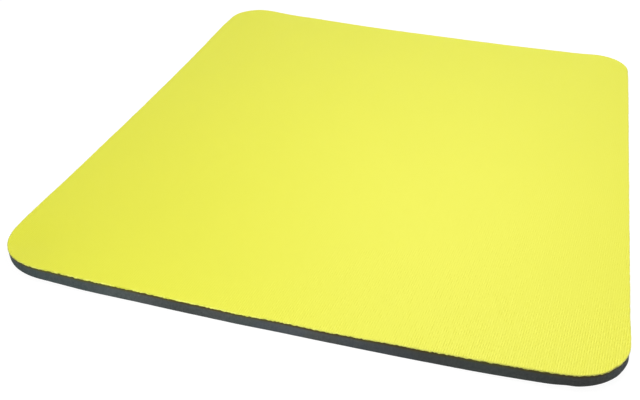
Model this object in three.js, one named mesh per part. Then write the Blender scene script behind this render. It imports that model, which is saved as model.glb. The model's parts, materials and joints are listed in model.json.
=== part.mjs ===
// A mouse pad: knitted cloth bonded by a thin film to a sheet of closed-cell foam,
// laminated flat and then cut out in one stroke of a die.
// Millimetres, with +X along the long side, +Y away from the user and +Z up.
// The origin is the middle of the underside, on the desk.

import * as THREE from 'three';

// Outline that the die cuts
const padLength = 250;
const padWidth = 200;
const cornerRadius = 19.5;

// Layers, from the desk up
const foamThickness = 3.8;
const filmThickness = 0.1;
const clothThickness = 0.35;

// Cut side: the die squeezes the foam, so its side springs back hollow and
// the layers above end a little further in than the foam does at the desk
const clothSetback = 0.12;
const cupDepth = 0.14;
const footRadius = 0.25;
const rimRadius = 0.25;

// Rest shape: the middle and the middle of each side lie flat, and the corners curl up
const cornerLift = 2.6;
const flatShare = 0.15;

// Steps of the mesh
const cornerSteps = 10;
const lengthSteps = 8;
const widthSteps = 6;
const rimSteps = 3;
const cupSteps = 6;
const footSteps = 3;
const faceShares = [1, 0.95, 0.87, 0.78, 0.68, 0.57, 0.45, 0.3, flatShare];

const quarterTurn = Math.PI / 2;

// Height that the curl adds at a point, growing with the square of the way to each side
function curlAt(x, y) {
  const along = Math.max(Math.abs(x) / (padLength / 2) - flatShare, 0) / (1 - flatShare);
  const across = Math.max(Math.abs(y) / (padWidth / 2) - flatShare, 0) / (1 - flatShare);
  return cornerLift * along ** 2 * across ** 2;
}

// The outline as points, anticlockwise from above, drawn in by an inset
function outlinePoints(inset) {
  const reachX = padLength / 2 - cornerRadius;
  const reachY = padWidth / 2 - cornerRadius;
  const centres = [[reachX, reachY], [-reachX, reachY], [-reachX, -reachY], [reachX, -reachY]];
  const corners = centres.map(([x, y], quarter) => {
    const arc = new THREE.EllipseCurve(
      x, y, cornerRadius - inset, cornerRadius - inset,
      quarter * quarterTurn, (quarter + 1) * quarterTurn,
    );
    return arc.getPoints(cornerSteps);
  });
  return corners.flatMap((corner, index) => {
    const next = corners[(index + 1) % corners.length];
    const side = new THREE.LineCurve(corner[cornerSteps], next[0]);
    const steps = index % 2 === 0 ? lengthSteps : widthSteps;
    return [...corner, ...side.getPoints(steps).slice(1, -1)];
  });
}

// A ring of the outline at an inset, a height and a share of the way out from the middle
function ringPoints({ inset, height }, share = 1) {
  return outlinePoints(inset).map((point) => {
    const x = point.x * share;
    const y = point.y * share;
    return new THREE.Vector3(x, y, height + curlAt(x, y));
  });
}

// A whole face of a layer: its rings from the cut side in, and last the middle point
function facePoints(edge) {
  const rings = faceShares.flatMap((share) => ringPoints(edge, share));
  return [...rings, new THREE.Vector3(0, 0, edge.height)];
}

// Triangles from one ring to the next, which lies above it or further in
function bandTriangles(first, second, count) {
  const triangles = [];
  for (let here = 0; here < count; here++) {
    const next = (here + 1) % count;
    triangles.push([first + here, first + next, second + next]);
    triangles.push([first + here, second + next, second + here]);
  }
  return triangles;
}

// Triangles of a face, seen from above, whose points start at an index
function faceTriangles(start, count) {
  const triangles = [];
  for (let ring = 0; ring < faceShares.length - 1; ring++) {
    const outer = start + ring * count;
    triangles.push(...bandTriangles(outer, outer + count, count));
  }
  const innermost = start + (faceShares.length - 1) * count;
  const middle = start + faceShares.length * count;
  for (let here = 0; here < count; here++) {
    triangles.push([innermost + here, innermost + (here + 1) % count, middle]);
  }
  return triangles;
}

// A closed layer between two faces. The profile lists its cut side from the bottom up, and
// two layers that meet share the profile's edge there, so their faces match point for point.
function layerGeometry(profile) {
  const bottom = facePoints(profile[0]);
  const sides = profile.slice(1, -1).map((edge) => ringPoints(edge));
  const top = facePoints(profile[profile.length - 1]);
  const count = outlinePoints(0).length;
  const topStart = bottom.length + sides.length * count;
  const ringStarts = [0, ...sides.map((_, index) => bottom.length + index * count), topStart];

  const triangles = faceTriangles(0, count).map(([a, b, c]) => [a, c, b]);
  for (let ring = 0; ring < ringStarts.length - 1; ring++) {
    triangles.push(...bandTriangles(ringStarts[ring], ringStarts[ring + 1], count));
  }
  triangles.push(...faceTriangles(topStart, count));

  const geometry = new THREE.BufferGeometry();
  geometry.setFromPoints([...bottom, ...sides.flat(), ...top]);
  geometry.setIndex(triangles.flat());
  geometry.computeVertexNormals();
  return geometry;
}

// Edges where two layers meet
const filmOnFoam = { inset: clothSetback, height: foamThickness };
const clothOnFilm = { inset: clothSetback, height: foamThickness + filmThickness };

// The foam's side: a round foot, then a shallow hollow that ends at the film
function foamProfile() {
  const profile = [];
  for (let step = 0; step <= footSteps; step++) {
    const angle = quarterTurn * (step / footSteps);
    profile.push({
      inset: footRadius * (1 - Math.sin(angle)),
      height: footRadius * (1 - Math.cos(angle)),
    });
  }
  const cutHeight = foamThickness - footRadius;
  for (let step = 1; step < cupSteps; step++) {
    const share = step / cupSteps;
    profile.push({
      inset: clothSetback * share + cupDepth * Math.sin(Math.PI * share),
      height: footRadius + cutHeight * share,
    });
  }
  return [...profile, filmOnFoam];
}

// The cloth's side: straight at first, then rounded over at the rim
function clothProfile() {
  const top = clothOnFilm.height + clothThickness;
  const profile = [clothOnFilm];
  for (let step = 0; step <= rimSteps; step++) {
    const angle = quarterTurn * (step / rimSteps);
    profile.push({
      inset: clothSetback + rimRadius * (1 - Math.cos(angle)),
      height: top - rimRadius * (1 - Math.sin(angle)),
    });
  }
  return profile;
}

// Yellow polyester knit
function clothMaterial() {
  return new THREE.MeshStandardMaterial({ color: 0xf3f25c, roughness: 0.85, metalness: 0 });
}

// Dark hot-melt film, seen only as a line at the cut side
function filmMaterial() {
  return new THREE.MeshStandardMaterial({ color: 0x43402a, roughness: 0.5, metalness: 0 });
}

// Slate-grey closed-cell foam
function foamMaterial() {
  return new THREE.MeshStandardMaterial({ color: 0x4a5254, roughness: 0.9, metalness: 0 });
}

// The sheet that grips the desk and cushions the hand
function foamBase() {
  const mesh = new THREE.Mesh(layerGeometry(foamProfile()), foamMaterial());
  mesh.name = 'foam_base';
  return mesh;
}

// The film that bonds the cloth to the foam
function bondFilm() {
  const mesh = new THREE.Mesh(layerGeometry([filmOnFoam, clothOnFilm]), filmMaterial());
  mesh.name = 'bond_film';
  return mesh;
}

// The knitted face that the mouse glides on
function clothTop() {
  const mesh = new THREE.Mesh(layerGeometry(clothProfile()), clothMaterial());
  mesh.name = 'cloth_top';
  return mesh;
}

const pad = new THREE.Group();
pad.add(foamBase(), bondFilm(), clothTop());

export default pad;
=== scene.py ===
# A cloth-topped foam mouse pad on a white table, seen from its near short side.
# Metres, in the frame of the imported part: +X along the long side, +Z up, origin under the middle.
import json
import math

import bpy
import numpy as np
from mathutils import Matrix, Vector


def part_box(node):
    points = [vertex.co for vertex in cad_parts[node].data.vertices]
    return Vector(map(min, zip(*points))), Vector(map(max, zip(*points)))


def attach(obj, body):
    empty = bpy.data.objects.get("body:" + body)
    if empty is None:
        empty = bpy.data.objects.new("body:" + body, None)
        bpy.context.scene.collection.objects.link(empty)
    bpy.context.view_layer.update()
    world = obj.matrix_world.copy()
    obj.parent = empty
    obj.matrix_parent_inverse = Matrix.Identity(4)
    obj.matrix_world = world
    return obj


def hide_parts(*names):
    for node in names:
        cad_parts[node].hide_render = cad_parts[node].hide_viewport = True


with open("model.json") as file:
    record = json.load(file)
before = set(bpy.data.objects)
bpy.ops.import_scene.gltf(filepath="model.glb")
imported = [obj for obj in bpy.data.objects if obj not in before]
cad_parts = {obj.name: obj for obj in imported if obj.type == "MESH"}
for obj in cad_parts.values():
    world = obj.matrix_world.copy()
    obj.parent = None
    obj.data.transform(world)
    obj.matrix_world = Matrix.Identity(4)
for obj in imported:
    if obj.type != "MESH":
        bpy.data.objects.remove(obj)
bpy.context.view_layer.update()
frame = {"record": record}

MM = 0.001

# Sizes of the pad, read from the part where it states them
HALF_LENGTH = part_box("foam_base")[1].x
HALF_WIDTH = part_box("foam_base")[1].y
FOAM_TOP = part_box("bond_film")[0].z
FILM_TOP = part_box("cloth_top")[0].z
PAD_TOP = next(m["pos_m"][2] for m in frame["record"]["mounts"] if m["name"] == "top")

# Sizes that the part's source also names
CORNER_LIFT = 2.6 * MM
FLAT_SHARE = 0.15
CLOTH_SETBACK = 0.12 * MM
CUP_DEPTH = 0.14 * MM
FOOT_RADIUS = 0.25 * MM
RIM_RADIUS = 0.25 * MM

# Small departures from the part's even outline, as the photo shows them. Corners and sides are listed
# anticlockwise from above as the camera names them: far left, near left, near right and far right
# corner, and far, left, near and right side.
CORNER_RADII = np.array([20.0, 19.6, 18.8, 17.5]) * MM
SIDE_BOWS = np.array([0, 0, 0.2, 0.45]) * MM

# Places where the pad is pressed thinner or, where the depth is below zero, swells: place, depth and
# reach in millimetres
PRESSED = [
    ((-115, 97), 1.35, 12.5),
    ((125, 73), 0.33, 11),
    ((123, 89), -0.2, 6),
    ((125, -76), 0.25, 9),
    ((125, -25), -0.17, 28),
]

# Places where the cut side stands out from an even line: place, how far at the foot and at the top, and
# reach in millimetres
LEANS = [
    ((106, 100), -0.6, -0.6, 6.5),
    ((-40, 100), 0.2, 0.2, 20),
    ((-118, 95.5), -0.32, 0, 4.5),
    ((-119.5, 94), -0.08, 0.2, 7),
    ((-125, 64), 0.29, 0, 11),
    ((-125, 46), -0.08, -0.24, 13),
    ((-125, 14), 0.09, 0.31, 8),
    ((-125, -12), 0.05, 0.30, 6),
    ((-125, -34), 0.06, -0.24, 7),
    ((-125, -50), 0, -0.15, 9),
    ((-125, -61), 0.30, 0, 20),
    ((-125, -83), -0.45, -0.1, 2.8),
    ((-122, -91), 0, 0.17, 5),
    ((-120, -93.5), 0, 0.16, 5),
    ((-118.1, -95.8), 0, -0.26, 1.7),
    ((-113, -98.7), -0.12, -0.1, 3),
    ((-104, -100), 0.30, 0.30, 8),
]

# Meshes: the pitch of the points along the cut line, of which the faces' inner rings have one in so many,
# the insets of the faces' two outer rings, and the steps of the cut side's foot, hollow and rim
POINT_PITCH = 0.36 * MM
COARSEN = 4
EDGE_WIDTH = 0.15 * MM
BAND_INSET = 3 * MM
FOOT_STEPS = 3
CUP_STEPS = 9
RIM_STEPS = 4

# Inner rings of the faces, as shares of the way out from the middle
EVEN_RINGS = 20
FACE_SHARES = np.concatenate([[0.965, 0.94], np.linspace(0.91, FLAT_SHARE, EVEN_RINGS)])

# Edges sharper than this are shown sharp
SHARP_ANGLE = math.radians(50)

# Name under which each point keeps its height as it was before the corners curled
LEVEL_HEIGHT = "level_height"

# Wander of the cut: how many waves make it up, and for each kind its typical size and its longest and
# shortest wave
WAVE_COUNT = 60
CUT_WANDER = 0.03 * MM
CUT_WAVES = (40 * MM, 3 * MM)
TOOTH_HEIGHT = 0.075 * MM
TOOTH_WAVES = (5 * MM, 1.1 * MM)
DIP_DEPTH = 0.03 * MM
DIP_WAVES = (9 * MM, 1.5 * MM)
FUZZ_DEPTH = 0.012 * MM
FUZZ_WAVES = (1.6 * MM, 0.8 * MM)

# Shares and limits of that wander: how much of it the foot has, how many times its typical size a tooth
# may reach, how far the dips move on from ring to ring, in points, and what the film takes of the rest
FOOT_WANDER = 0.35
TOOTH_LIMIT = 2.4
DIP_SHIFT = 7
FILM_NICK_SHARE = 0.4
FILM_TOOTH_SHARE = 0.6

# Nicks in the cut side: the largest depth, the typical width, and the least and most of each that a nick
# may have, as shares
NICK_DEPTH = 0.16 * MM
NICK_WIDTH = 0.8 * MM
NICK_DEPTHS = (0.6, 1)
NICK_WIDTHS = (0.7, 1.3)
NICKED_PLACES = np.array([
    [-HALF_LENGTH, 64 * MM],
    [-HALF_LENGTH, 53 * MM],
    [60 * MM, -HALF_WIDTH],
    [HALF_LENGTH, 22 * MM],
    [-31 * MM, HALF_WIDTH],
])

# How far down from the film the foam's cut side turns browner at all, and wholly: partly glue soaked in,
# partly painted shade under the cloth's edge
SOAKED_AND_SHADED_DEPTH = 1.05 * MM
SOAKED_AND_SHADED_WHOLLY = 0.25 * MM

# Soft patches where the foam's cut side is paler or darker: place and reach in millimetres, and how many
# times as pale as the rest. The palest, at the near right corner, is painted light falling from the right.
FOAM_PATCHES_AND_PAINTED_LIGHT = [
    ((-125, 53), 16, 1.1),
    ((-125, 33), 16, 0.8),
    ((-125, -5), 16, 1.15),
    ((-125, -44), 29, 0.85),
    ((-125, -84), 22, 0.85),
    ((-116, -97), 17, 1.35),
]

# Towards this place the cut side is painted a cooler slate, as painted light from a bluish light on the
# left
PAINTED_COOL_LIGHT_PLACE = (-121 * MM, 94 * MM, 0)
PAINTED_COOL_LIGHT_REACH = 50 * MM

# The cloth's knit: ribs along the long side, a little out of square with it
RIB_PITCH = 0.72 * MM
STITCH_PITCH = 0.5 * MM
RIB_LEAN = math.radians(-4.6)

# Shape of the knit: how far a rib strays from its line, in ribs, how far a stitch's legs slant, in
# stitches, and what the ribs and the stitches add to the height
RIB_STRAY = 0.35
STITCH_SLANT = 1.4
RIB_SHARE = 0.35
STITCH_SHARE = 0.15

# The photo shows the ribs most crisply in the near right corner: at first their contrast falls steeply
# with the distance from a place beyond that corner, then slowly
CRISP_PLACE = (-250 * MM, -154 * MM, 0)
CRISP_START = 155 * MM
CRISP_STEEP_END = 181 * MM
CRISP_END = 278 * MM
CRISP_STEEP_SHARE = 0.4
CRISP_SLOW_SHARE = 0.3
CRISP_LEAST = 0.05

# Scale along the ribs of the flecks in which they show, as a share of the scale across
FLECK_SCALE_ALONG = 0.6

# The cloth's cut edge is darker in worn patches, which as painted shade show the least to the right of one
# place across the pad and wholly to the left of another
PAINTED_SHADE_LEAST_AT = -40 * MM
PAINTED_SHADE_WHOLE_AT = 60 * MM
PAINTED_SHADE_LEAST = 0.15

# Light on the pad: the surround's strength, and for each lamp its place, what it points at, its width,
# its watts, its colour and whether it shows in gloss, which a low lamp would make glare
SURROUND = 0.12
LAMPS = {
    "key_warm": ((-0.10, -0.06, 0.30), (-0.08, -0.05, 0), 0.15, 0.39, (1.0, 0.90, 0.80), True),
    "key_cool": ((-0.10, 0.12, 0.32), (-0.06, 0.04, 0), 0.30, 0.205, (0.94, 0.97, 1.0), True),
    "back_soft": ((0.28, -0.03, 0.45), (-0.06, -0.04, 0), 0.30, 1.57, (1.0, 0.985, 0.97), True),
    "near_fill": ((-0.23, 0.035, 0.022), (-0.125, 0.035, 0), 0.04, 0.071, (0.93, 0.97, 1.0), False),
}

# Gloss of the cloth, and how much smoother its crowns and rougher its grooves are
CLOTH_ROUGH = 0.5
CLOTH_ROUGH_SPREAD = 0.06
CLOTH_SPEC = 0.4

# Colours of the cloth's face, its grooves painted darker as painted shade and its crowns paler as painted
# sheen, of its cut edge and of the film's edge
KNIT_GROOVE_PAINTED_SHADE = (0.697, 0.722, 0.001)
KNIT_CROWN_PAINTED_SHEEN = (0.920, 0.956, 0.071)
KNIT_MOTTLED = (0.787, 0.830, 0.035)
# The cut edge's colours are paler than the face's, partly for the yarn ends and partly as painted sheen on
# the rounded rim
YARN_DARK = (0.76, 0.79, 0.09)
YARN_PALE = (0.91, 0.945, 0.19)
YARN_WORN_AND_SHADED = (0.66, 0.69, 0.045)
FILM_DARK = (0.052, 0.040, 0.008)
FILM_PALE = (0.100, 0.092, 0.018)

# Colours of the foam's cut side, plain and in the band under the film that is partly soaked glue and partly
# painted shade, and of its skin
SLATE_GREEN = (0.058, 0.075, 0.073)
SLATE_WARM = (0.069, 0.074, 0.071)
SLATE_BLUE = (0.066, 0.078, 0.094)
SLATE_PAINTED_COOL_LIGHT = (0.050, 0.079, 0.080)
SLATE_PALE = (0.082, 0.094, 0.096)
SLATE_DRAWN = (0.092, 0.102, 0.102)
# Painted shade in the foam's open pores
PORE_PAINTED_SHADE = (0.030, 0.035, 0.036)
GLUE_AND_SHADE_GREEN = (0.084, 0.082, 0.014)
GLUE_AND_SHADE_BROWN = (0.070, 0.050, 0.008)
SKIN_DARK = (0.026, 0.029, 0.030)
SKIN_PALE = (0.040, 0.044, 0.045)
# Painted shade in the grooves of the skin's grain
SKIN_GROOVE_PAINTED_SHADE = (0.014, 0.016, 0.017)

# Noise textures: scale per metre, octaves of detail and roughness
RIB_DRIFT = (90.0, 2.0, 0.5)
RIB_FLECKS = (1400.0, 2.0, 0.5)
RIB_PATCHES = (380.0, 1.0, 0.5)
CLOTH_FUZZ = (6500.0, 2.0, 0.6)
CLOTH_MOTTLE = (34.0, 4.0, 0.55)
YARN_ENDS = (2600.0, 3.0, 0.6)
YARN_WEAR = (260.0, 2.0, 0.5)
FILM_STREAKS = (900.0, 3.0, 0.6)
CUT_LINES = (1900.0, 3.0, 0.55)
FOAM_MOTTLE = (160.0, 4.0, 0.6)
FOAM_TONES = (28.0, 2.0, 0.5)
FOAM_BLUES = (75.0, 2.0, 0.5)
SKIN_MOTTLE = (60.0, 4.0, 0.55)
SKIN_DUST = (1500.0, 3.0, 0.6)
PAPER_GRAIN = (300.0, 3.0, 0.5)

# Cells per metre of the foam's pores and of its skin's grain, how much of the painted shade in a pore
# shows, and the upward scale of the lines of the cut, as a share of their scale along the side
PORE_CELLS = 5200.0
GRAIN_CELLS = 1000.0
PORE_SHARE = 0.4
CUT_LINES_SCALE_UP = 0.35

# Depths of what is too fine for the meshes
KNIT_RELIEF = 0.03 * MM
FUZZ_RELIEF = 0.02 * MM
YARN_RELIEF = 0.05 * MM
FILM_RELIEF = 0.02 * MM
PORE_RELIEF = 0.05 * MM
CUT_LINES_RELIEF = 0.05 * MM
GRAIN_RELIEF = 0.10 * MM
DUST_RELIEF = 0.01 * MM
PAPER_RELIEF = 0.02 * MM

# Camera, fitted to the outline of the pad
CAMERA_PLACE = Vector((-346.02, -63.20, 183.65)) * MM
CAMERA_AZIMUTH = math.radians(-76.2705)
CAMERA_ELEVATION = math.radians(30.7396)
CAMERA_ROLL = math.radians(2.8212)
CAMERA_LENS = 54.674
SENSOR_WIDTH = 36

# Share of the floor's look that is plain white to the camera, while the rest takes light and shadow,
# and that white's strength, over 1 because only its share shows
FLOOR_LIFT = 0.86
FLOOR_GLOW = 1.12

# Half the width of the floor, and its corners in halves of its width
FLOOR_REACH = 3.0
FLOOR_CORNERS = ((-1, -1), (1, -1), (1, 1), (-1, 1))


# Shape of the pad


def raised(x, y, height):
    """Height of points of the pad once its corners curl and it is pressed thinner in places."""
    along = np.clip(np.abs(x) / HALF_LENGTH - FLAT_SHARE, 0, None) / (1 - FLAT_SHARE)
    across = np.clip(np.abs(y) / HALF_WIDTH - FLAT_SHARE, 0, None) / (1 - FLAT_SHARE)
    pressed = 0
    for place, depth, reach in PRESSED:
        away = np.hypot(x / MM - place[0], y / MM - place[1])
        pressed = pressed + depth * MM * np.exp(-((away / reach) ** 2))
    return height + CORNER_LIFT * along**2 * across**2 - pressed * height / PAD_TOP


def cut_line():
    """Evenly spaced points of the die's cut, anticlockwise from above, and their outward normals."""
    full = np.array([HALF_WIDTH, HALF_LENGTH, HALF_WIDTH, HALF_LENGTH]) * 2
    sides = full - CORNER_RADII - np.roll(CORNER_RADII, 1)
    arcs = CORNER_RADII * math.pi / 2
    total = np.sum(sides + arcs)
    count = COARSEN * round(total / POINT_PITCH / COARSEN)
    signs = np.array([[1, 1], [-1, 1], [-1, -1], [1, -1]])
    centres = signs * (np.array([HALF_LENGTH, HALF_WIDTH]) - CORNER_RADII[:, None])
    points, normals = [], []
    for step in range(count):
        way, quarter = total * step / count, 0
        while way > sides[quarter] + arcs[quarter]:
            way -= sides[quarter] + arcs[quarter]
            quarter += 1
        start = quarter * math.pi / 2
        angle = start + max(way - sides[quarter], 0) / CORNER_RADII[quarter]
        normal = np.array([math.cos(angle), math.sin(angle)])
        back = max(sides[quarter] - way, 0)
        straight = back * np.array([math.sin(start), -math.cos(start)])
        bow = SIDE_BOWS[quarter] * (1 - (2 * back / sides[quarter] - 1) ** 4) if back > 0 else 0
        points.append(centres[quarter] + (CORNER_RADII[quarter] + bow) * normal + straight)
        normals.append(normal)
    return np.array(points), np.array(normals)


CUT_POINTS, CUT_NORMALS = cut_line()
CUT_COUNT = len(CUT_POINTS)


def wander(seed, longest, shortest):
    """A smooth closed curve of numbers along the cut line, spread about zero with a deviation of 1."""
    draw = np.random.default_rng(seed)
    way = 2 * math.pi * np.arange(CUT_COUNT) / CUT_COUNT
    length = CUT_COUNT * POINT_PITCH
    turns = np.unique(np.round(np.geomspace(length / longest, length / shortest, WAVE_COUNT)))
    waves = [draw.normal() * np.cos(turn * way + draw.uniform(0, 2 * math.pi)) for turn in turns]
    total = np.sum(waves, axis=0)
    return total / total.std()


def nicks(seed, places, width):
    """Small dents along the cut line, from 0 to 1 deep, one at each place on the pad's outline."""
    draw = np.random.default_rng(seed)
    depth = np.zeros(CUT_COUNT)
    for place in places:
        nearest = np.argmin(np.hypot(*(CUT_POINTS - place).T))
        gap = np.abs(np.arange(CUT_COUNT) - nearest)
        gap = np.minimum(gap, CUT_COUNT - gap) * POINT_PITCH
        size = width * draw.uniform(*NICK_WIDTHS)
        depth = np.maximum(depth, draw.uniform(*NICK_DEPTHS) * np.exp(-((gap / size) ** 2)))
    return depth


def ring(inset, height):
    """A ring of points at an inset from the cut line and a height, either of which may vary along it."""
    flat = CUT_POINTS - CUT_NORMALS * np.broadcast_to(inset, CUT_COUNT)[:, None]
    return np.column_stack([flat, raised(flat[:, 0], flat[:, 1], height)])


def band(first, second, count):
    """Quads between two rings of equal count whose points start at the given indices."""
    here = np.arange(count)
    after = (here + 1) % count
    return np.column_stack([first + here, first + after, second + after, second + here]).tolist()


def face_of_layer(start, edge, inset, height):
    """Points and polygons of a layer's face, seen from above, inside the ring of points at index edge and
    at that inset. The face is level but for the curl: a narrow band that keeps the edge's roundness to
    itself, a wider one, a step to fewer points, and rings to the middle."""
    few = CUT_COUNT // COARSEN
    rings = [ring(inset + EDGE_WIDTH, height), ring(BAND_INSET, height)]
    outline = CUT_POINTS[::COARSEN] - CUT_NORMALS[::COARSEN] * BAND_INSET
    for share in FACE_SHARES:
        flat = outline * share
        rings.append(np.column_stack([flat, raised(flat[:, 0], flat[:, 1], height)]))
    rings.append(np.array([[0.0, 0.0, height]]))

    polygons = band(edge, start, CUT_COUNT) + band(start, start + CUT_COUNT, CUT_COUNT)
    start += CUT_COUNT
    coarse = start + CUT_COUNT
    for here in range(few):
        after = (here + 1) % few
        fine = [start + (COARSEN * here + step) % CUT_COUNT for step in range(COARSEN + 1)]
        polygons.append([*fine, coarse + after, coarse + here])
    for _ in FACE_SHARES[1:]:
        polygons += band(coarse, coarse + few, few)
        coarse += few
    polygons += [[coarse + here, coarse + (here + 1) % few, coarse + few] for here in range(few)]
    return np.concatenate(rings), polygons


def layer(name, profile, side, under, upper):
    """A closed layer of the pad. The profile lists the inset and height of its cut side's rings from the
    bottom up, and the three materials are for the cut side, the lower face and the upper face. Each
    point also keeps its height in the pad as it was before the corners curled."""
    rings = [ring(inset, height) for inset, height in profile]
    sides = []
    for step in range(len(rings) - 1):
        sides += band(step * CUT_COUNT, (step + 1) * CUT_COUNT, CUT_COUNT)
    start = len(rings) * CUT_COUNT
    (low_inset, low_height), (high_inset, high_height) = profile[0], profile[-1]
    low_points, low = face_of_layer(start, 0, low_inset, np.mean(low_height))
    start += len(low_points)
    top = (len(rings) - 1) * CUT_COUNT
    high_points, high = face_of_layer(start, top, high_inset, np.mean(high_height))

    mesh = bpy.data.meshes.new(name)
    points = np.concatenate([*rings, low_points, high_points])
    mesh.from_pydata(points.tolist(), [], sides + [polygon[::-1] for polygon in low] + high)
    levels = [np.broadcast_to(height, CUT_COUNT) for _, height in profile]
    levels.append(np.full(len(low_points), np.mean(low_height)))
    levels.append(np.full(len(high_points), np.mean(high_height)))
    kept_levels = mesh.attributes.new(LEVEL_HEIGHT, "FLOAT", "POINT")
    kept_levels.data.foreach_set("value", np.concatenate(levels))
    for material in (side, under, upper):
        mesh.materials.append(material)
    slots = [0] * len(sides) + [1] * len(low) + [2] * len(high)
    mesh.polygons.foreach_set("material_index", slots)
    mesh.polygons.foreach_set("use_smooth", [True] * len(slots))
    mesh.set_sharp_from_angle(angle=SHARP_ANGLE)
    piece = bpy.data.objects.new(name, mesh)
    bpy.context.scene.collection.objects.link(piece)
    return piece


# The cut as it really runs: the die wavers, and the cloth's stitches leave small teeth where they end
DIE_WANDER = CUT_WANDER * wander(1, *CUT_WAVES)
TEETH = TOOTH_HEIGHT * np.clip(wander(2, *TOOTH_WAVES), -TOOTH_LIMIT, TOOTH_LIMIT)
NICKS = NICK_DEPTH * nicks(3, NICKED_PLACES, NICK_WIDTH)


def cut_inset(inset, height):
    """An inset of the cut side with its leans and the die's wander, which grows with the height."""
    share = height / PAD_TOP
    lean = 0
    for place, foot, top, reach in LEANS:
        away = np.hypot(*(CUT_POINTS / MM - place).T)
        lean = lean + (foot + (top - foot) * share) * MM * np.exp(-((away / reach) ** 2))
    return inset + DIE_WANDER * (FOOT_WANDER + (1 - FOOT_WANDER) * share) - lean


def film_on_foam():
    """Inset and height of the edge where the film lies on the foam."""
    inset = cut_inset(CLOTH_SETBACK, FOAM_TOP) + FILM_NICK_SHARE * NICKS
    return inset, FOAM_TOP + FILM_TOOTH_SHARE * TEETH


def cloth_on_film():
    """Inset and height of the edge where the cloth lies on the film."""
    return cut_inset(CLOTH_SETBACK, FILM_TOP), FILM_TOP + TEETH


def foam_profile():
    """The foam's side: a round foot, then a shallow hollow that ends at the film."""
    profile = []
    for step in range(FOOT_STEPS + 1):
        angle = math.pi / 2 * step / FOOT_STEPS
        height = FOOT_RADIUS * (1 - math.cos(angle))
        profile.append((cut_inset(FOOT_RADIUS * (1 - math.sin(angle)), height), height))
    top_inset, top_height = film_on_foam()
    dips = DIP_DEPTH * wander(4, *DIP_WAVES)
    for step in range(1, CUP_STEPS):
        share = step / CUP_STEPS
        height = FOOT_RADIUS + (top_height - FOOT_RADIUS) * share
        hollow = math.sin(math.pi * share)
        inset = cut_inset(CLOTH_SETBACK * share + CUP_DEPTH * hollow, FOAM_TOP * share)
        profile.append((inset + (np.roll(dips, DIP_SHIFT * step) + NICKS) * hollow, height))
    return [*profile, (top_inset, top_height)]


def cloth_profile():
    """The cloth's side: straight at first, then rounded over at the rim, less so where a tooth is short."""
    foot_inset, foot_height = cloth_on_film()
    profile = [(foot_inset, foot_height)]
    fuzz = FUZZ_DEPTH * wander(5, *FUZZ_WAVES)
    rim_height = RIM_RADIUS * (PAD_TOP - foot_height) / (PAD_TOP - FILM_TOP)
    for step in range(RIM_STEPS + 1):
        angle = math.pi / 2 * step / RIM_STEPS
        inset = CLOTH_SETBACK + RIM_RADIUS * (1 - math.cos(angle))
        height = PAD_TOP - rim_height * (1 - math.sin(angle))
        profile.append((cut_inset(inset, height) + fuzz * math.cos(angle), height))
    return profile


# Materials


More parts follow.
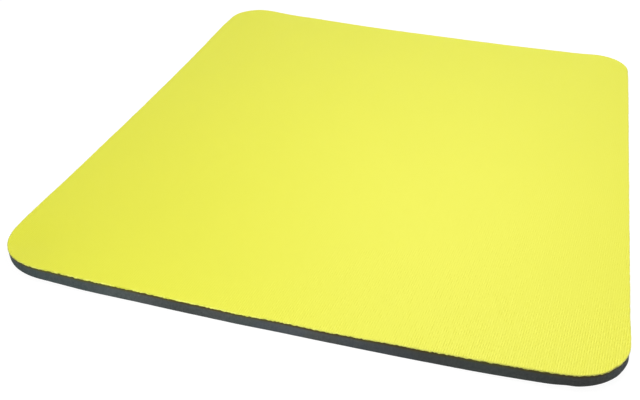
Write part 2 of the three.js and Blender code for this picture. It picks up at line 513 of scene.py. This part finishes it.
class Nodes:
    """A material's node tree with short calls for the nodes that these materials use."""

    def __init__(self, name):
        self.material = bpy.data.materials.new(name)
        self.material.use_nodes = True
        self.tree = self.material.node_tree
        self.shader = self.tree.nodes["Principled BSDF"]
        self.place = self.tree.nodes.new("ShaderNodeTexCoord").outputs["Object"]

    def feed(self, socket, value):
        """Links a socket, or sets a number or colour on it."""
        if isinstance(value, bpy.types.NodeSocket):
            self.tree.links.new(value, socket)
        else:
            socket.default_value = value

    def math(self, operation, first, second=0.0, third=0.0):
        node = self.tree.nodes.new("ShaderNodeMath")
        node.operation = operation
        for socket, value in zip(node.inputs, (first, second, third)):
            self.feed(socket, value)
        return node.outputs[0]

    def scaled(self, along, across, up):
        """Coordinates for a texture, from three numbers."""
        node = self.tree.nodes.new("ShaderNodeCombineXYZ")
        for socket, value in zip(node.inputs, (along, across, up)):
            self.feed(socket, value)
        return node.outputs[0]

    def noise(self, scale, detail, roughness, place=None):
        node = self.tree.nodes.new("ShaderNodeTexNoise")
        self.feed(node.inputs["Vector"], place or self.place)
        node.inputs["Scale"].default_value = scale
        node.inputs["Detail"].default_value = detail
        node.inputs["Roughness"].default_value = roughness
        return node.outputs["Fac"]

    def cells(self, scale, level=False):
        """Distance from the middle of each cell, in space or on the level plane."""
        node = self.tree.nodes.new("ShaderNodeTexVoronoi")
        node.voronoi_dimensions = "2D" if level else "3D"
        self.feed(node.inputs["Vector"], self.place)
        node.inputs["Scale"].default_value = scale
        return node.outputs["Distance"]

    def spread(self, value, low, high, new_low, new_high):
        """Maps a range of numbers to another, with soft ends."""
        node = self.tree.nodes.new("ShaderNodeMapRange")
        node.interpolation_type = "SMOOTHSTEP"
        for socket, number in zip(node.inputs, (value, low, high, new_low, new_high)):
            self.feed(socket, number)
        return node.outputs["Result"]

    def mix(self, share, first, second, blend="MIX"):
        """A colour between two, or the first multiplied by the second."""
        node = self.tree.nodes.new("ShaderNodeMix")
        node.data_type = "RGBA"
        node.blend_type = blend
        self.feed(node.inputs["Factor"], share)
        for name, value in (("A", first), ("B", second)):
            socket = [s for s in node.inputs if s.name == name and s.type == "RGBA"][0]
            self.feed(socket, (*value, 1) if isinstance(value, tuple) else value)
        return [s for s in node.outputs if s.type == "RGBA"][0]

    def turned(self, angle):
        """The object's coordinates turned about Z."""
        node = self.tree.nodes.new("ShaderNodeVectorRotate")
        node.rotation_type = "Z_AXIS"
        self.feed(node.inputs["Vector"], self.place)
        node.inputs["Angle"].default_value = angle
        return node.outputs[0]

    def split(self, place=None):
        """Coordinates as separate numbers along, across and up, the object's own if none are given."""
        node = self.tree.nodes.new("ShaderNodeSeparateXYZ")
        self.feed(node.inputs[0], place or self.place)
        return node.outputs

    def away_from(self, place):
        """Distance of the object's points from a place on it."""
        node = self.tree.nodes.new("ShaderNodeVectorMath")
        node.operation = "DISTANCE"
        self.feed(node.inputs[0], self.place)
        node.inputs[1].default_value = place
        return node.outputs["Value"]

    def level_height(self):
        """Height in the pad as it was before its corners curled, from 0 at the desk."""
        node = self.tree.nodes.new("ShaderNodeAttribute")
        node.attribute_name = LEVEL_HEIGHT
        return node.outputs["Fac"]

    def bump(self, height, distance, strength=1.0, under=None):
        node = self.tree.nodes.new("ShaderNodeBump")
        self.feed(node.inputs["Height"], height)
        node.inputs["Distance"].default_value = distance
        node.inputs["Strength"].default_value = strength
        if under is not None:
            self.feed(node.inputs["Normal"], under)
        return node.outputs[0]

    def set(self, **values):
        """Feeds the shader's sockets, whose names are given with _ for a space."""
        for name, value in values.items():
            self.feed(self.shader.inputs[name.replace("_", " ")], value)


def knit_height(nodes, along, across):
    """Height of the knit from 0 in its grooves to 1 on its stitches: ribs of V-shaped stitches."""
    drift = nodes.math("MULTIPLY", nodes.math("SUBTRACT", nodes.noise(*RIB_DRIFT), 0.5), RIB_STRAY)
    rib = nodes.math("ADD", nodes.math("DIVIDE", across, RIB_PITCH), drift)
    way = nodes.math("ABSOLUTE", nodes.math("SUBTRACT", nodes.math("FRACT", rib), 0.5))
    crown = nodes.math("COSINE", nodes.math("MULTIPLY", way, 2 * math.pi))
    stitch = nodes.math("DIVIDE", along, STITCH_PITCH)
    slant = nodes.math("ADD", stitch, nodes.math("MULTIPLY", way, STITCH_SLANT))
    leg = nodes.math("SINE", nodes.math("MULTIPLY", slant, 2 * math.pi))
    rounded = nodes.math("MULTIPLY_ADD", crown, RIB_SHARE, 0.5)
    return nodes.math("MULTIPLY_ADD", leg, STITCH_SHARE, rounded)


def rib_contrast(nodes, along, across):
    """How strongly the ribs' painted groove shade and painted crown sheen show: less with the distance from
    one corner, and unevenly.
    """
    away = nodes.away_from(CRISP_PLACE)
    steep = nodes.spread(away, CRISP_START, CRISP_STEEP_END, CRISP_STEEP_SHARE, 0.0)
    slow = nodes.spread(away, CRISP_START, CRISP_END, CRISP_SLOW_SHARE, CRISP_LEAST)
    stretched = nodes.scaled(nodes.math("MULTIPLY", along, FLECK_SCALE_ALONG), across, 0.0)
    flecks = nodes.spread(nodes.noise(*RIB_FLECKS, stretched), 0.42, 0.62, 0.0, 2.4)
    patches = nodes.spread(nodes.noise(*RIB_PATCHES), 0.35, 0.65, 0.5, 1.5)
    crisp = nodes.math("ADD", steep, slow)
    return nodes.math("MULTIPLY", crisp, nodes.math("MULTIPLY", patches, flecks))


def cloth_face():
    """Yellow polyester knit: ribs of stitches with painted shade in their grooves and painted sheen on
    their crowns, fuzz, faint mottling and a soft sheen.
    """
    nodes = Nodes("knit_yellow")
    along, across, _ = nodes.split(nodes.turned(-RIB_LEAN))
    knit = knit_height(nodes, along, across)
    rise = nodes.math("SUBTRACT", nodes.spread(knit, 0.1, 0.9, 0.0, 1.0), 0.5)
    stitch = nodes.math("MULTIPLY_ADD", rise, rib_contrast(nodes, along, across), 0.5)
    mottle = nodes.spread(nodes.noise(*CLOTH_MOTTLE), 0.3, 0.7, 0.0, 0.3)
    # Painted shade in the ribs' grooves and painted sheen on their crowns
    shade = nodes.mix(stitch, KNIT_GROOVE_PAINTED_SHADE, KNIT_CROWN_PAINTED_SHEEN)
    shade = nodes.mix(mottle, shade, KNIT_MOTTLED)
    ribs = nodes.bump(knit, KNIT_RELIEF)
    rough_ends = (CLOTH_ROUGH + CLOTH_ROUGH_SPREAD, CLOTH_ROUGH - CLOTH_ROUGH_SPREAD)
    nodes.set(
        Base_Color=shade,
        Normal=nodes.bump(nodes.noise(*CLOTH_FUZZ), FUZZ_RELIEF, 0.6, ribs),
        Roughness=nodes.spread(stitch, 0.0, 1.0, *rough_ends),
        Specular_IOR_Level=CLOTH_SPEC,
        Sheen_Weight=0.13,
        Sheen_Roughness=0.45,
        Sheen_Tint=(1.0, 1.0, 0.85, 1.0),
    )
    return nodes.material


def cloth_side():
    """The cloth's cut edge: the ends of its yarns, a brighter and rougher yellow whose paleness is partly
    painted sheen, darker in worn patches that painted shade deepens towards the left.
    """
    nodes = Nodes("knit_cut_edge")
    _, across, _ = nodes.split()
    yarns = nodes.noise(*YARN_ENDS)
    painted_shade = nodes.spread(across, PAINTED_SHADE_LEAST_AT, PAINTED_SHADE_WHOLE_AT, PAINTED_SHADE_LEAST, 1.0)
    patches = nodes.spread(nodes.noise(*YARN_WEAR), 0.42, 0.6, 0.0, 1.0)
    shade = nodes.mix(nodes.spread(yarns, 0.35, 0.65, 0.0, 1.0), YARN_DARK, YARN_PALE)
    # Worn patches, shown more towards the left as painted shade
    shade = nodes.mix(nodes.math("MULTIPLY", painted_shade, patches), shade, YARN_WORN_AND_SHADED)
    nodes.set(
        Base_Color=shade,
        Normal=nodes.bump(yarns, YARN_RELIEF),
        Roughness=0.7,
        Specular_IOR_Level=0.35,
        Sheen_Weight=0.3,
        Sheen_Roughness=0.5,
    )
    return nodes.material


def film_side():
    """The dark olive line of hot-melt film between the cloth and the foam."""
    nodes = Nodes("film_olive")
    streaks = nodes.noise(*FILM_STREAKS)
    nodes.set(
        Base_Color=nodes.mix(nodes.spread(streaks, 0.35, 0.7, 0.0, 1.0), FILM_DARK, FILM_PALE),
        Normal=nodes.bump(streaks, FILM_RELIEF),
        Roughness=nodes.spread(streaks, 0.3, 0.7, 0.38, 0.6),
        Specular_IOR_Level=0.4,
    )
    return nodes.material


def foam_shade(nodes, mottle, drawn, pores):
    """Colour of the foam's cut side: patchy along its length, partly as painted light, painted cooler
    towards one end, with painted shade in its pores, and under the film a band partly of soaked glue and
    partly of painted shade.
    """
    tones = nodes.spread(nodes.noise(*FOAM_TONES), 0.4, 0.6, 0.0, 1.0)
    blues = nodes.spread(nodes.noise(*FOAM_BLUES), 0.5, 0.62, 0.0, 0.8)
    painted_cool_light = nodes.spread(nodes.away_from(PAINTED_COOL_LIGHT_PLACE), 0.0, PAINTED_COOL_LIGHT_REACH, 1.0, 0.0)
    dark = nodes.math("SUBTRACT", PORE_SHARE, nodes.math("MULTIPLY", pores, PORE_SHARE))
    shade = nodes.mix(tones, SLATE_GREEN, SLATE_WARM)
    shade = nodes.mix(blues, shade, SLATE_BLUE)
    # Painted cool light towards the near left corner
    shade = nodes.mix(painted_cool_light, shade, SLATE_PAINTED_COOL_LIGHT)
    shade = nodes.mix(nodes.spread(mottle, 0.3, 0.7, 0.0, 0.5), shade, SLATE_PALE)
    shade = nodes.mix(nodes.spread(drawn, 0.35, 0.7, 0.0, 0.5), shade, SLATE_DRAWN)
    # Painted shade in the pores
    shade = nodes.mix(dark, shade, PORE_PAINTED_SHADE)
    # Paler and darker patches; the one at the near right corner is painted light
    for (along, across), reach, tone in FOAM_PATCHES_AND_PAINTED_LIGHT:
        away = nodes.away_from((along * MM, across * MM, 0))
        shade = nodes.mix(nodes.spread(away, 0.0, reach * MM, 1.0, 0.0), shade, (tone,) * 3, "MULTIPLY")
    # Under the film the side turns browner: partly glue soaked in, partly painted shade under the cloth's
    # edge
    height = nodes.level_height()
    glued_and_shaded = nodes.spread(height, FOAM_TOP - SOAKED_AND_SHADED_DEPTH, FOAM_TOP - SOAKED_AND_SHADED_WHOLLY, 0.0, 1.0)
    return nodes.mix(glued_and_shaded, shade, nodes.mix(tones, GLUE_AND_SHADE_GREEN, GLUE_AND_SHADE_BROWN))


def foam_side():
    """The foam's cut side: slate grey with open pores painted dark as painted shade, drawn lines of the cut
    and faint mottling.
    """
    nodes = Nodes("foam_cut_side")
    along, across, up = nodes.split()
    stretched = nodes.scaled(along, across, nodes.math("MULTIPLY", up, CUT_LINES_SCALE_UP))
    drawn = nodes.noise(*CUT_LINES, stretched)
    mottle = nodes.noise(*FOAM_MOTTLE)
    pores = nodes.spread(nodes.cells(PORE_CELLS), 0.15, 0.42, 0.0, 1.0)
    nodes.set(
        Base_Color=foam_shade(nodes, mottle, drawn, pores),
        Normal=nodes.bump(drawn, CUT_LINES_RELIEF, 0.8, nodes.bump(pores, PORE_RELIEF)),
        Roughness=nodes.spread(mottle, 0.3, 0.7, 0.82, 0.94),
        Specular_IOR_Level=0.3,
    )
    return nodes.material


def foam_skin():
    """The foam's moulded underside: a dense dark skin with a fine grain that grips the desk, its grooves
    painted darker as painted shade.
    """
    nodes = Nodes("foam_grip_skin")
    grain = nodes.spread(nodes.cells(GRAIN_CELLS, level=True), 0.1, 0.6, 1.0, 0.0)
    mottle = nodes.noise(*SKIN_MOTTLE)
    shade = nodes.mix(nodes.spread(mottle, 0.3, 0.7, 0.0, 1.0), SKIN_DARK, SKIN_PALE)
    # Painted shade in the grain's grooves
    shade = nodes.mix(nodes.spread(grain, 0.0, 1.0, 0.35, 0.0), shade, SKIN_GROOVE_PAINTED_SHADE)
    dust = nodes.bump(nodes.noise(*SKIN_DUST), DUST_RELIEF, 0.7)
    nodes.set(
        Base_Color=shade,
        Normal=nodes.bump(grain, GRAIN_RELIEF, 1.0, dust),
        Roughness=nodes.spread(mottle, 0.3, 0.7, 0.55, 0.72),
        Specular_IOR_Level=0.45,
    )
    return nodes.material


def seen_as_is(tree):
    """1 for rays from the camera and for those that gloss or glass sends on, otherwise 0."""
    path = tree.nodes.new("ShaderNodeLightPath")
    total = path.outputs["Is Camera Ray"]
    for name in ("Is Glossy Ray", "Is Transmission Ray"):
        node = tree.nodes.new("ShaderNodeMath")
        node.operation = "MAXIMUM"
        tree.links.new(total, node.inputs[0])
        tree.links.new(path.outputs[name], node.inputs[1])
        total = node.outputs[0]
    return total


def floor_white():
    """White paper that lights the pad from below as it is, and is lifted towards white for the camera."""
    nodes = Nodes("floor_white")
    nodes.set(
        Base_Color=(0.9, 0.9, 0.9, 1),
        Normal=nodes.bump(nodes.noise(*PAPER_GRAIN), PAPER_RELIEF, 0.3),
        Roughness=0.9,
        Specular_IOR_Level=0.0,
    )
    glow = nodes.tree.nodes.new("ShaderNodeEmission")
    glow.inputs["Strength"].default_value = FLOOR_GLOW
    blend = nodes.tree.nodes.new("ShaderNodeMixShader")
    nodes.feed(blend.inputs[0], nodes.math("MULTIPLY", seen_as_is(nodes.tree), FLOOR_LIFT))
    nodes.feed(blend.inputs[1], nodes.shader.outputs[0])
    nodes.feed(blend.inputs[2], glow.outputs[0])
    nodes.feed(nodes.tree.nodes["Material Output"].inputs["Surface"], blend.outputs[0])
    return nodes.material


# Pieces


def claim(piece, node):
    """Puts a piece on the part's one body, in place of a node of it."""
    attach(piece, "root")
    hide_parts(node)


def make_foam():
    foam = layer("foam_sheet", foam_profile(), foam_side(), foam_skin(), film_side())
    claim(foam, "foam_base")


def make_film():
    olive = film_side()
    film = layer("film_line", [film_on_foam(), cloth_on_film()], olive, olive, olive)
    claim(film, "bond_film")


def make_cloth():
    """The cloth, whose area is that of a rectangle less what its four round corners leave out."""
    edge = cloth_side()
    cloth = layer("knit_face", cloth_profile(), edge, edge, cloth_face())
    claim(cloth, "cloth_top")


# Surroundings


def make_camera():
    """The camera that took the photo, turned by its azimuth, elevation and roll."""
    back = Vector((
        math.sin(CAMERA_AZIMUTH) * math.cos(CAMERA_ELEVATION),
        -math.cos(CAMERA_AZIMUTH) * math.cos(CAMERA_ELEVATION),
        math.sin(CAMERA_ELEVATION),
    ))
    level = Vector((math.cos(CAMERA_AZIMUTH), math.sin(CAMERA_AZIMUTH), 0))
    right = Matrix.Rotation(CAMERA_ROLL, 3, back) @ level
    turn = Matrix((right, back.cross(right), back)).transposed().to_4x4()
    data = bpy.data.cameras.new("camera")
    data.sensor_width = SENSOR_WIDTH
    data.lens = CAMERA_LENS
    camera = bpy.data.objects.new("camera", data)
    camera.matrix_world = Matrix.Translation(CAMERA_PLACE) @ turn
    bpy.context.scene.collection.objects.link(camera)
    bpy.context.scene.camera = camera


def make_lamp(name, place, target, size, power, colour, in_gloss):
    """A soft round lamp that the camera doesn't see."""
    data = bpy.data.lights.new(name, "AREA")
    data.shape = "DISK"
    data.size = size
    data.energy = power
    data.color = colour
    lamp = bpy.data.objects.new(name, data)
    lamp.visible_camera = False
    lamp.visible_glossy = in_gloss
    lamp.location = place
    lamp.rotation_euler = (Vector(target) - Vector(place)).to_track_quat("-Z", "Y").to_euler()
    bpy.context.scene.collection.objects.link(lamp)


def make_world():
    """A white surround, at full strength only where it is seen, mirrored or seen through glass."""
    world = bpy.data.worlds.new("world")
    bpy.context.scene.world = world
    world.use_nodes = True
    tree = world.node_tree
    back = tree.nodes["Background"]
    back.inputs["Color"].default_value = (1, 1, 1, 1)
    strength = tree.nodes.new("ShaderNodeMapRange")
    tree.links.new(seen_as_is(tree), strength.inputs["Value"])
    strength.inputs["To Min"].default_value = SURROUND
    strength.inputs["To Max"].default_value = 1.0
    tree.links.new(strength.outputs[0], back.inputs["Strength"])


def make_floor():
    mesh = bpy.data.meshes.new("floor")
    corners = [(x * FLOOR_REACH, y * FLOOR_REACH, 0) for x, y in FLOOR_CORNERS]
    mesh.from_pydata(corners, [], [(0, 1, 2, 3)])
    mesh.materials.append(floor_white())
    floor = bpy.data.objects.new("floor", mesh)
    bpy.context.scene.collection.objects.link(floor)


make_camera()
make_foam()
make_film()
make_cloth()
for lamp_name, lamp_values in LAMPS.items():
    make_lamp(lamp_name, *lamp_values)
make_world()
make_floor()
bpy.context.scene.view_settings.view_transform = "Standard"
